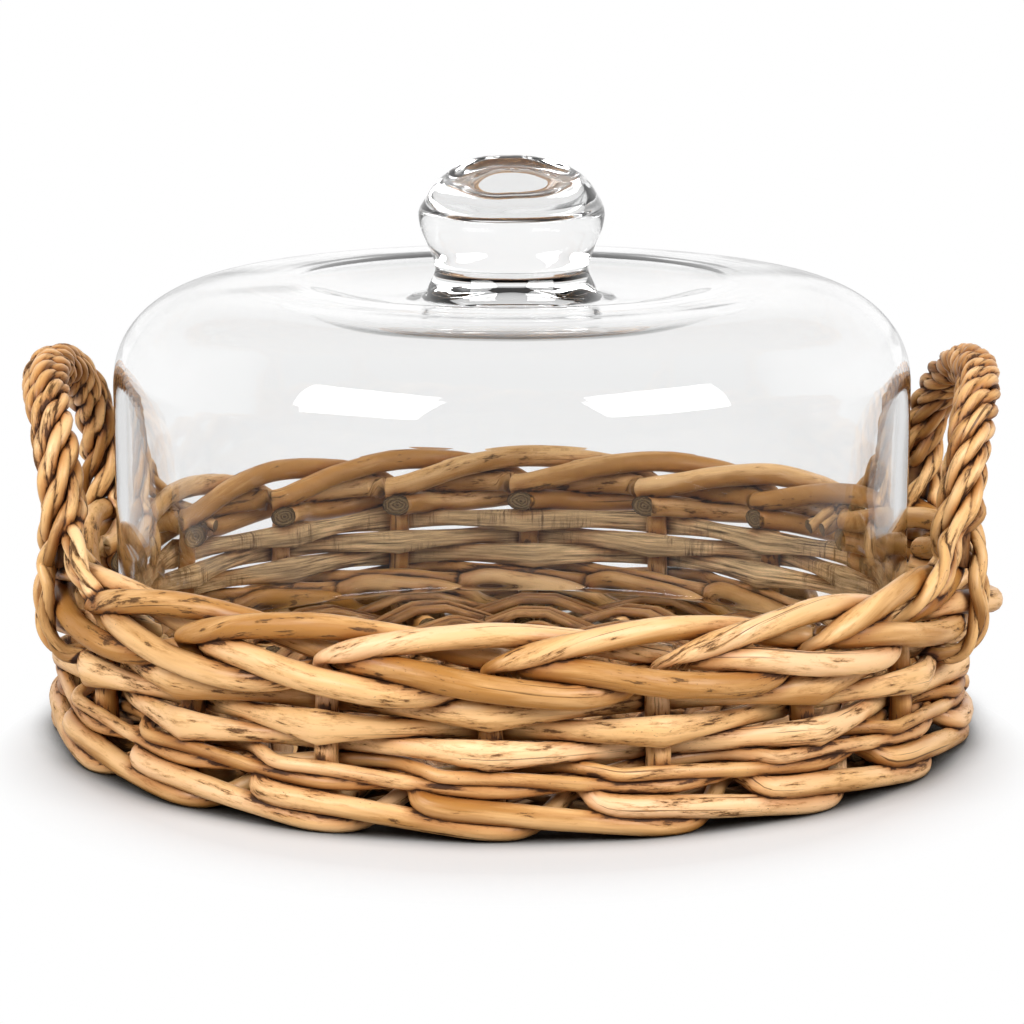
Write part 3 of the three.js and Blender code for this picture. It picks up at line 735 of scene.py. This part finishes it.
def split_row(row):
    """A row of split rod, high and flat where it lies on a stake and pinched between two."""
    reach = STAKE_D / 2 + SPLIT_THICKNESS / 2 + 2 * FIT
    z = SPLIT_FIRST_Z + row * SPLIT_ROW_PITCH
    dice = random.Random(f"split row {row}")
    kinks = []
    for k in range(STAKES + 1):
        outside = 1 if k % 2 else -1
        shift = ROD_END_TURN * ((k == 0) - (k == STAKES))
        shift += dice.uniform(-0.06, 0.06) * (0 < k < STAKES)
        place = (row + 1 + k + shift, WALL_R + outside * reach, z + dice.uniform(-0.6, 0.6))
        kinks.append((place, SPLIT_HEIGHT * (1.3 if outside > 0 else 1.15) * dice.uniform(0.92, 1.08)))
    line, heights = [], []
    for (a, high_a), (b, high_b) in zip(kinks, kinks[1:]):
        waist = SPLIT_PINCH * dice.uniform(1.0, 1.2)
        for i in range(KINK_STEPS):
            share = i / KINK_STEPS
            turn, r, up = (a[c] + (b[c] - a[c]) * share for c in range(3))
            line.append(wall_point(turn, r, up))
            edge = abs(2 * share - 1) ** 1.6
            heights.append(waist + ((high_a if share < 0.5 else high_b) - waist) * edge)
    line.append(wall_point(*kinks[-1][0]))
    heights.append(kinks[-1][1])
    in_turn = iter(heights)
    cane = lay_rod(Cane(), line, split_outline(),
                   lambda share: (SPLIT_THICKNESS * SPLIT_FULLNESS, next(in_turn)), facing_out,
                   split_from=ARC_POINTS - 1, slant=0.2, seed=f"split row {row}", wander=0.3)
    finished(cane, f"split_willow_row_{row + 1:02d}", f"split_row_{row + 1:02d}",
             [row_willow, cut_willow, inner_face], 0.2 + 0.25 * row)


for row in range(SPLIT_ROWS):
    split_row(row)

# Handles
# Two arches of ten thin rods, laid in pairs round a core rod like a rope. At each foot the rope
# opens: two pairs go down the outside of the border and under it, two forward over it, one inside.
HANDLE_STRANDS = 5
ROPE_R = 5.3
CORE_D = 2 * ROPE_R - 2
ROPE_OPENS = 2.6
ROPE_TURNS = 4
ROPE_SLACK = 0.3
HANDLE_FOOT_ANGLE = 21
HANDLE_FOOT_R = 168.5
HANDLE_TOP_R = 169.6
HANDLE_TOP_Z = 130.05
ROPE_FOOT_Z = 71
ROPE_CLOSED_Z = 99
PAIR_D = 4.4
PAIR_HALF = 1.05
PAIR_LEAD = 34
PAIR_STEP = 1.3
OUTSIDE_SPACING = 6.8
HANDLE_STEPS = 90
HANDLE_HALF = [
    (HANDLE_FOOT_R, HANDLE_FOOT_ANGLE, ROPE_FOOT_Z),
    (HANDLE_FOOT_R + 0.3, HANDLE_FOOT_ANGLE, 81),
    (HANDLE_FOOT_R + 0.5, 0.98 * HANDLE_FOOT_ANGLE, 91),
    (HANDLE_TOP_R - 0.4, 0.92 * HANDLE_FOOT_ANGLE, 102),
    (HANDLE_TOP_R - 0.2, 0.77 * HANDLE_FOOT_ANGLE, 115),
    (HANDLE_TOP_R, 0.52 * HANDLE_FOOT_ANGLE, 125),
    (HANDLE_TOP_R, 0.26 * HANDLE_FOOT_ANGLE, 129.2),
]
# Ways of a pair at the foot: from the axis, height, along the wall
OUTSIDE_FOOT = [(176.4, 63, 0), (177.2, 54, 0), (175.8, 45.5, 0.5), (172.2, 39.6, 2), (166, 38, 4),
                (159, 40, 6)]
INSIDE_FOOT = [(158.5, 66.5, -5), (154, 60, -6), (152, 53, -7), (154, 47, -7)]
FORWARD_FOOT = [(169, 81, 6), (170.5, 75, 12.5), (170.5, 69, 19.5), (167.5, 63, 26), (160, 57.5, 31),
                (153, 53, 34)]
FORWARD_SPACING = 9
FORWARD_TRIM = 8
handle_willow = willow_finish("handle_willow", (0.87, 0.57, 0.285), (0.7, 0.4, 0.155),
                              (0.27, 0.115, 0.026), BARK, 0.32, 0.95)


def handle_point(r, degrees, z):
    angle = math.radians(degrees)
    return Vector((r * math.cos(angle), r * math.sin(angle), z)) * MM


def even_steps(line, count):
    """Points at equal distances along a line, with the line's direction at each."""
    lengths = lengths_along(line)
    points, j = [], 0
    for i in range(count + 1):
        want = lengths[-1] * i / count
        while j < len(line) - 2 and lengths[j + 1] < want:
            j += 1
        points.append(line[j].lerp(line[j + 1], (want - lengths[j]) / (lengths[j + 1] - lengths[j])))
    return points, [way_at(points, i) for i in range(count + 1)]


keys = [handle_point(r, -degrees, z) for r, degrees, z in HANDLE_HALF]
keys.append(handle_point(HANDLE_TOP_R, 0, HANDLE_TOP_Z))
keys += [handle_point(r, degrees, z) for r, degrees, z in HANDLE_HALF[::-1]]
handle_line, handle_ways = even_steps(bent_through(keys, 1), HANDLE_STEPS)


def foot_keys(slot, hand):
    """A pair's way below the rope: outside the border, forward over it, or inside."""
    if slot > 0.5:
        path, beside = FORWARD_FOOT, (slot - 1) * FORWARD_SPACING
    elif slot < -1.5:
        path, beside = INSIDE_FOOT, 0
    else:
        path, beside = OUTSIDE_FOOT, (slot + 0.5) * OUTSIDE_SPACING
    return [handle_point(r, hand * (HANDLE_FOOT_ANGLE + math.degrees((ahead + beside) / r)), z)
            for r, z, ahead in path]


def strand_line(strand):
    """Middle line of a pair: its way into the border at both feet, and a helix between."""
    step = 2 * math.pi / HANDLE_STRANDS
    turns = ROPE_TURNS * HANDLE_STRANDS
    half = (HANDLE_STRANDS - 1) / 2
    rope = []
    for i, (centre, way) in enumerate(zip(handle_line, handle_ways)):
        out = facing_out(centre)
        out = (out - way * out.dot(way)).normalized()
        across = way.cross(out)
        share = i / HANDLE_STEPS
        share -= ROPE_SLACK * math.sin(2 * math.pi * share) / (2 * math.pi)
        angle = (strand + turns * share) * step
        ring = ROPE_R + ROPE_OPENS * (1 - smoothstep(centre.z / MM, ROPE_FOOT_Z, ROPE_CLOSED_Z))
        rope.append(centre + (out * math.cos(angle) + across * math.sin(angle)) * ring * MM)
    far = (strand + half + turns) % HANDLE_STRANDS - half
    first = FORWARD_TRIM if strand < -0.5 else 0
    last = len(rope) - (FORWARD_TRIM if far < -0.5 else 0)
    return bent_through(foot_keys(-strand, -1)[::-1] + rope[first:last] + foot_keys(-far, 1),
                        PAIR_STEP)


def twisted_rod(line, start):
    """One rod of a pair, wound round the pair's middle line against the lay of the rope."""
    rod = []
    side = facing_out(line[0])
    along = 0.0
    for i, point in enumerate(line):
        way = way_at(line, i)
        side = (side - way * side.dot(way)).normalized()
        angle = start + 2 * math.pi * along / (PAIR_LEAD * MM)
        rod.append(point + (side * math.cos(angle) + side.cross(way) * math.sin(angle)) * PAIR_HALF * MM)
        along += (line[min(i + 1, len(line) - 1)] - point).length
    return rod


def turned_about(line, sign):
    """The left handle is the right one turned half round the basket's axis."""
    return [Vector((p.x * sign, p.y * sign, p.z)) for p in line]


for hand, turned in (("right", 1), ("left", -1)):
    for index in range(HANDLE_STRANDS):
        cane = Cane()
        middle = strand_line(index - (HANDLE_STRANDS - 1) / 2)
        for rod, start in enumerate((0, math.pi)):
            line = turned_about(twisted_rod(middle, start + index), turned)
            seed = f"{hand} strand {index} rod {rod}"
            thick = PAIR_D * random.Random(seed).uniform(0.94, 1.08)
            lay_rod(cane, line, ROUND_10, lambda share: (thick, thick), facing_out, knots=False,
                    seed=seed, wander=0.3)
        finished(cane, f"{hand}_handle_pair_{index + 1:02d}", f"{hand}_handle_strand_{index + 1:02d}",
                 [handle_willow, cut_willow],
                 random.Random(f"{hand} tone {index}").uniform(0.15, 0.65))
    cane = lay_rod(Cane(), turned_about(handle_line, turned), ROUND_10, lambda share: (CORE_D, CORE_D),
                   facing_out, seed=f"{hand} core")
    finished(cane, f"{hand}_handle_core_rod", f"{hand}_handle_core",
             [shaded_base_willow, cut_willow], 0.8)

# Dust in the joints, and painted shade between rods
# Years of use leave a dark line wherever one rod lies on another. Each surface point is marked by
# how near it is to the next rod. The finishes darken a thin line there by the seam mark, and paint
# shade a few millimetres wide, where a neighbouring rod keeps the light off, by the shade mark.
SEAM_REACH = 1.3 * MM
SHADE_REACH = 4.5 * MM
PAIR_NOTCH = 0.45 * MM
NEIGHBOURS = 14
FAR_OFF = 1.0


def mark_seams():
    """Gives every rod its seam and shade marks. The two rods of a pair mark only their notch."""
    lines = [line for piece, cane in rods for line in cane.lines]
    centres = [(p, r, n) for n, line in enumerate(lines) for p, r in line]
    tree = KDTree(len(centres))
    for i, (p, r, n) in enumerate(centres):
        tree.insert(p, i)
    tree.balance()
    passed = 0
    for piece, cane in rods:
        marks, shades = [], []
        a_pair = "_pair_" in piece.name
        for vertex, owner in zip(piece.data.vertices, cane.owner):
            nearest, notch = FAR_OFF, FAR_OFF
            for p, i, distance in tree.find_n(vertex.co, NEIGHBOURS):
                gap = max(distance - centres[i][1], 0)
                other = centres[i][2]
                if other == passed + owner:
                    continue
                if a_pair and other in (passed, passed + 1):
                    notch = min(notch, gap + PAIR_NOTCH)
                else:
                    nearest = min(nearest, gap)
            marks.append(1 - smoothstep(min(nearest, notch), 0, SEAM_REACH))
            shades.append(1 - smoothstep(nearest, 0, SHADE_REACH))
        passed += len(cane.lines)
        seam = piece.data.attributes.new("seam", "FLOAT", "POINT")
        seam.data.foreach_set("value", marks)
        shade = piece.data.attributes.new("shade", "FLOAT", "POINT")
        shade.data.foreach_set("value", shades)


mark_seams()

# Cloche
# One bell of clear glass, blown and drawn in at the top round a solid knob of the same glass, which
# is a little hollow underneath. It stands on the woven base and lifts straight off by its knob.
CLOCHE_R = 145.6
CLOCHE_WALL = 4.5
CLOCHE_BOTTOM = 15.35
CLOCHE_SHOULDER_Z = 126
CLOCHE_CREST_R = 95
CLOCHE_CREST_Z = 164
CLOCHE_DIP = 7.5
CLOCHE_DIP_R = 80
KNOB_NECK_R = 27.8
KNOB_HEAD_R = 33.6
KNOB_HEAD_Z = 189
KNOB_TOP_Z = 206
KNOB_DISH = 2.4
KNOB_LIP_R = 23.6
KNOB_LEAN = 5
KNOB_HOLLOW = 7
KNOB_LUMP = 1.6
BLOWN_WAVE = 0.7
BLOWN_TO_R = 140
KNOB_FLARE = 9
KNOB_STEP = 1.6
SHOULDER_FULLNESS = 2.25
AROUND = 160


def shoulder(wall_r, crest_z, steps):
    """The rounded shoulder, from the wall up to the crest: a quarter of a full oval."""
    power = 2 / SHOULDER_FULLNESS
    turns = [math.pi / 2 * i / steps for i in range(steps + 1)]
    return [(CLOCHE_CREST_R + (wall_r - CLOCHE_CREST_R) * math.cos(turn) ** power,
             CLOCHE_SHOULDER_Z + (crest_z - CLOCHE_SHOULDER_Z) * math.sin(turn) ** power)
            for turn in turns]


def cloche_profile():
    """Half outline of the glass, from under the knob down the inside, round the rim and up outside."""
    seat_z = CLOCHE_CREST_Z - CLOCHE_DIP
    neck = KNOB_NECK_R + KNOB_FLARE
    outer_top = [(CLOCHE_CREST_R - 4, CLOCHE_CREST_Z + 0.1), (CLOCHE_DIP_R + 6, CLOCHE_CREST_Z + 0.1)]
    for i in range(17):
        s = i / 17
        fall = (1 - (1 - s) ** 2) * smoothstep(s, -0.35, 0.5)
        outer_top.append((CLOCHE_DIP_R + (neck - CLOCHE_DIP_R) * s, CLOCHE_CREST_Z - CLOCHE_DIP * fall))
    inner_top = [(r, z - CLOCHE_WALL) for r, z in outer_top] + [(neck, seat_z - CLOCHE_WALL)]
    inner_top += [(neck * s, seat_z - CLOCHE_WALL + KNOB_HOLLOW * (1 - s * s))
                  for s in (0.9, 0.75, 0.6, 0.45, 0.3, 0.15)]
    knob_keys = [
        (neck, seat_z), (KNOB_NECK_R + 4.2, seat_z + 1.4), (KNOB_NECK_R + 2.4, seat_z + 5),
        (KNOB_NECK_R, KNOB_HEAD_Z - 21.5), (KNOB_NECK_R + 2.2, KNOB_HEAD_Z - 14),
        (KNOB_HEAD_R - 0.6, KNOB_HEAD_Z - 6.5), (KNOB_HEAD_R, KNOB_HEAD_Z),
        (KNOB_HEAD_R - 2.3, KNOB_TOP_Z - 8.5), (KNOB_HEAD_R - 6, KNOB_TOP_Z - 2.6),
        (KNOB_HEAD_R - 10, KNOB_TOP_Z), (KNOB_HEAD_R - 15, KNOB_TOP_Z - 0.55 * KNOB_DISH),
        (0.3 * KNOB_HEAD_R, KNOB_TOP_Z - KNOB_DISH), (0, KNOB_TOP_Z - KNOB_DISH),
    ]
    knob_line = bent_through([Vector((r, 0, z)) * MM for r, z in knob_keys], KNOB_STEP)
    knob = [(point.x / MM, point.z / MM) for point in knob_line]
    half = CLOCHE_WALL / 2
    rim = [(CLOCHE_R - half + half * math.cos(math.radians(d)),
            CLOCHE_BOTTOM + half * (1 + math.sin(math.radians(d)))) for d in range(180, 361, 20)]
    wall_low, wall_high = CLOCHE_BOTTOM + 5, CLOCHE_SHOULDER_Z - 4
    wall_z = [wall_low + (wall_high - wall_low) * i / 14 for i in range(15)]
    inside = inner_top[::-1] + shoulder(CLOCHE_R - CLOCHE_WALL, CLOCHE_CREST_Z - CLOCHE_WALL, 20)[::-1]
    inside += [(CLOCHE_R - CLOCHE_WALL, z) for z in wall_z[::-1]]
    outside = [(CLOCHE_R, z) for z in wall_z] + shoulder(CLOCHE_R, CLOCHE_CREST_Z, 24)
    return inside + rim + outside + outer_top + knob[:-1]


def glass_finish():
    """Clear glass. Lamp light goes straight through it, as it does through a thin blown wall."""
    material, tree, shader, node = finish_nodes("clear_glass")
    shader.inputs["Base Color"].default_value = (0.985, 0.987, 0.987, 1)
    shader.inputs["Roughness"].default_value = 0.0
    shader.inputs["IOR"].default_value = 1.48
    shader.inputs["Transmission Weight"].default_value = 1
    where = node("ShaderNodeTexCoord").outputs["Object"]
    ripple = node("ShaderNodeTexNoise", {"Vector": where, "Scale": 16, "Detail": 1})
    bump = node("ShaderNodeBump", {"Strength": 0.12, "Distance": 0.002, "Height": ripple.outputs["Fac"]})
    tree.links.new(bump.outputs["Normal"], shader.inputs["Normal"])
    through = node("ShaderNodeBsdfTransparent", {"Color": (0.71, 0.72, 0.72, 1)})
    shadow = node("ShaderNodeLightPath").outputs["Is Shadow Ray"]
    choose = node("ShaderNodeMixShader", {0: shadow, 1: shader.outputs[0], 2: through.outputs[0]})
    tree.links.new(choose.outputs[0], tree.nodes["Material Output"].inputs["Surface"])
    return material


def glass_cloche():
    """The half outline turned round its axis, with the slow waves and lean of blown glass."""
    profile = cloche_profile()
    points = [Vector((0, 0, CLOCHE_CREST_Z - CLOCHE_DIP - CLOCHE_WALL + KNOB_HOLLOW)) * MM]
    for r, z in profile:
        for k in range(AROUND):
            angle = 2 * math.pi * k / AROUND
            x, y = math.cos(angle), math.sin(angle)
            calm = smoothstep(r, 4, 20)
            wave = BLOWN_WAVE * noise.noise(Vector((x * 1.6, y * 1.6, z * 0.012)))
            out = r + wave * calm * (r < BLOWN_TO_R)
            lean = 0.0
            if z > KNOB_HEAD_Z - 4 and r < KNOB_HEAD_R + 1:
                high = smoothstep(z, KNOB_HEAD_Z - 4, KNOB_TOP_Z - 5)
                slope = KNOB_LEAN * (y * min(r / KNOB_LIP_R, 1) - 1)
                lean = high * (slope + KNOB_LUMP * noise.noise(Vector((x * 1.4, y * 1.4, 5))))
            points.append(Vector((out * x, out * y, z + lean * calm)) * MM)
    points.append(Vector((0, 0, KNOB_TOP_Z - KNOB_DISH - KNOB_LEAN)) * MM)
    faces = []
    for k in range(AROUND):
        following = (k + 1) % AROUND
        faces.append((0, 1 + following, 1 + k))
        for i in range(len(profile) - 1):
            a, b = 1 + i * AROUND + k, 1 + i * AROUND + following
            faces.append((a, b, b + AROUND, a + AROUND))
        last = 1 + (len(profile) - 1) * AROUND
        faces.append((last + k, last + following, len(points) - 1))
    mesh = bpy.data.meshes.new("glass_bell_and_knob")
    mesh.from_pydata(points, [], faces)
    mesh.update()
    mesh.polygons.foreach_set("use_smooth", [True] * len(faces))
    mesh.materials.append(glass_finish())
    piece = placed("glass_bell_and_knob", mesh)
    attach(piece, "cloche")
    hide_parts("glass_cloche")


glass_cloche()

# Table, lamps and camera
# A plain white table, two soft boxes high at the front, a weak one over the back and a faint light
# from all round. The camera stands where the photograph was taken from.
FLOOR_HALF = 6.0
CONTACT_SHADE_REACH = 0.022
SHADOW_FORWARD = 0.05
SHADOW_END = (0.152, 0.188)
ROOM_LIGHT = 0.12
SIDE_BOX_AT = 0.97
SIDE_BOX_SIZE = (1.0, 0.7)
SIDE_BOX_POWER = 23.5
BACK_BOX_AT = (0, 0.9, 1.65)
BACK_BOX_SIZE = (1.1, 0.9)
BACK_BOX_POWER = 12
CAMERA_DISTANCE = 1280
CAMERA_HEIGHT = 60
CAMERA_ELEVATION = 12
CAMERA_LENS = 121.2
CAMERA_SHIFT = 0.043


def turned_back(node, path, kind):
    """Whether a ray has been reflected on its way, or has only gone straight through glass."""
    return maths(node, kind, path.outputs["Glossy Depth"], 0.5)


def table():
    """A table that takes the basket's shadow near it, with painted shade where the basket hems it in,
    and further off is as white as the room.
    """
    mesh = bpy.data.meshes.new("table")
    h = FLOOR_HALF
    mesh.from_pydata([(-h, -h, 0), (h, -h, 0), (h, h, 0), (-h, h, 0)], [], [(0, 1, 2, 3)])
    material, tree, shader, node = finish_nodes("white_table")
    # Painted shade: the table's colour darkens by ambient occlusion where the basket hems it in
    contact_shade = node("ShaderNodeAmbientOcclusion", {"Distance": CONTACT_SHADE_REACH}, samples=12).outputs["AO"]
    tree.links.new(ramp(node, contact_shade, ((0.25, (0.04, 0.035, 0.03)), (0.85, (0.68, 0.68, 0.685)))),
                   shader.inputs["Base Color"])
    shader.inputs["Roughness"].default_value = 0.9
    shader.inputs["Specular IOR Level"].default_value = 0
    path = node("ShaderNodeLightPath")
    seen = maths(node, "MAXIMUM", path.outputs["Is Camera Ray"], path.outputs["Is Transmission Ray"])
    where = node("ShaderNodeTexCoord").outputs["Object"]
    forward = node("ShaderNodeVectorMath", {0: where, 1: (0, SHADOW_FORWARD, 0)}, operation="ADD")
    away = node("ShaderNodeVectorMath", {0: forward.outputs["Vector"]}, operation="LENGTH")
    far = remapped(node, away.outputs["Value"], *SHADOW_END)
    mirrored = maths(node, "MULTIPLY", path.outputs["Is Glossy Ray"], path.outputs["Is Reflection Ray"])
    glow = maths(node, "MAXIMUM", maths(node, "MULTIPLY", far, seen), mirrored)
    depth = node("ShaderNodeSeparateXYZ", {0: where}).outputs["Y"]
    behind = remapped(node, depth, -0.1, 0.15, 0.22, 0.8)
    level = node("ShaderNodeMix", {0: turned_back(node, path, "GREATER_THAN"), 2: 1, 3: behind})
    # Painted shade on the white glow too, by the same ambient occlusion
    shaded_glow = ramp(node, contact_shade, ((0.3, (0.06, 0.05, 0.04)), (0.8, WHITE)))
    white = node("ShaderNodeEmission", {"Color": shaded_glow, "Strength": level.outputs[0]})
    both = node("ShaderNodeMixShader", {0: glow, 1: shader.outputs[0], 2: white.outputs[0]})
    tree.links.new(both.outputs[0], tree.nodes["Material Output"].inputs["Surface"])
    mesh.materials.append(material)
    placed("table", mesh)


def room():
    """White straight ahead, paler behind the basket than in front for what the glass mirrors."""
    world = bpy.data.worlds.new("studio")
    bpy.context.scene.world = world
    world.use_nodes = True
    tree = world.node_tree
    node = node_maker(tree)
    path = node("ShaderNodeLightPath")
    glossy = maths(node, "MAXIMUM", path.outputs["Is Glossy Ray"], path.outputs["Is Transmission Ray"])
    parts = node("ShaderNodeSeparateXYZ", {0: node("ShaderNodeTexCoord").outputs["Generated"]})
    behind = remapped(node, parts.outputs["Y"], -0.25, 0.4, 0.1, 1.06)
    above = remapped(node, parts.outputs["Z"], 0.3, 0.85, 1, 0.55)
    sky = maths(node, "MULTIPLY", behind, above)
    lit = mixed(node, glossy, (ROOM_LIGHT,) * 3, sky)
    through = maths(node, "MULTIPLY", path.outputs["Is Transmission Ray"],
                    turned_back(node, path, "LESS_THAN"))
    straight = maths(node, "MAXIMUM", path.outputs["Is Camera Ray"], through)
    tree.links.new(mixed(node, straight, lit, WHITE), tree.nodes["Background"].inputs["Color"])


def soft_box(name, place, target, size, power):
    light = bpy.data.lights.new(name, "AREA")
    light.shape = "RECTANGLE"
    light.size, light.size_y = size
    light.energy = power
    lamp = placed(name, light)
    lamp.location = place
    lamp.rotation_euler = (Vector(target) - Vector(place)).to_track_quat("-Z", "Y").to_euler()
    return lamp


table()
room()
for name, hand in (("left_soft_box", -1), ("right_soft_box", 1)):
    soft_box(name, (hand * SIDE_BOX_AT, -SIDE_BOX_AT, SIDE_BOX_AT), (0, 0, 0.14), SIDE_BOX_SIZE,
             SIDE_BOX_POWER)
back_box = soft_box("top_soft_box", BACK_BOX_AT, (0, 0, 0.05), BACK_BOX_SIZE, BACK_BOX_POWER)
back_box.visible_glossy = False
back_box.visible_transmission = False

lens = bpy.data.cameras.new("camera")
lens.lens = CAMERA_LENS
lens.sensor_width = 36
lens.shift_y = CAMERA_SHIFT
camera = placed("camera", lens)
tilt = math.radians(CAMERA_ELEVATION)
camera.location = (0, -CAMERA_DISTANCE * MM * math.cos(tilt),
                   (CAMERA_HEIGHT + CAMERA_DISTANCE * math.sin(tilt)) * MM)
camera.rotation_euler = (math.pi / 2 - tilt, 0, 0)
bpy.context.scene.camera = camera
bpy.context.scene.view_settings.view_transform = "Standard"
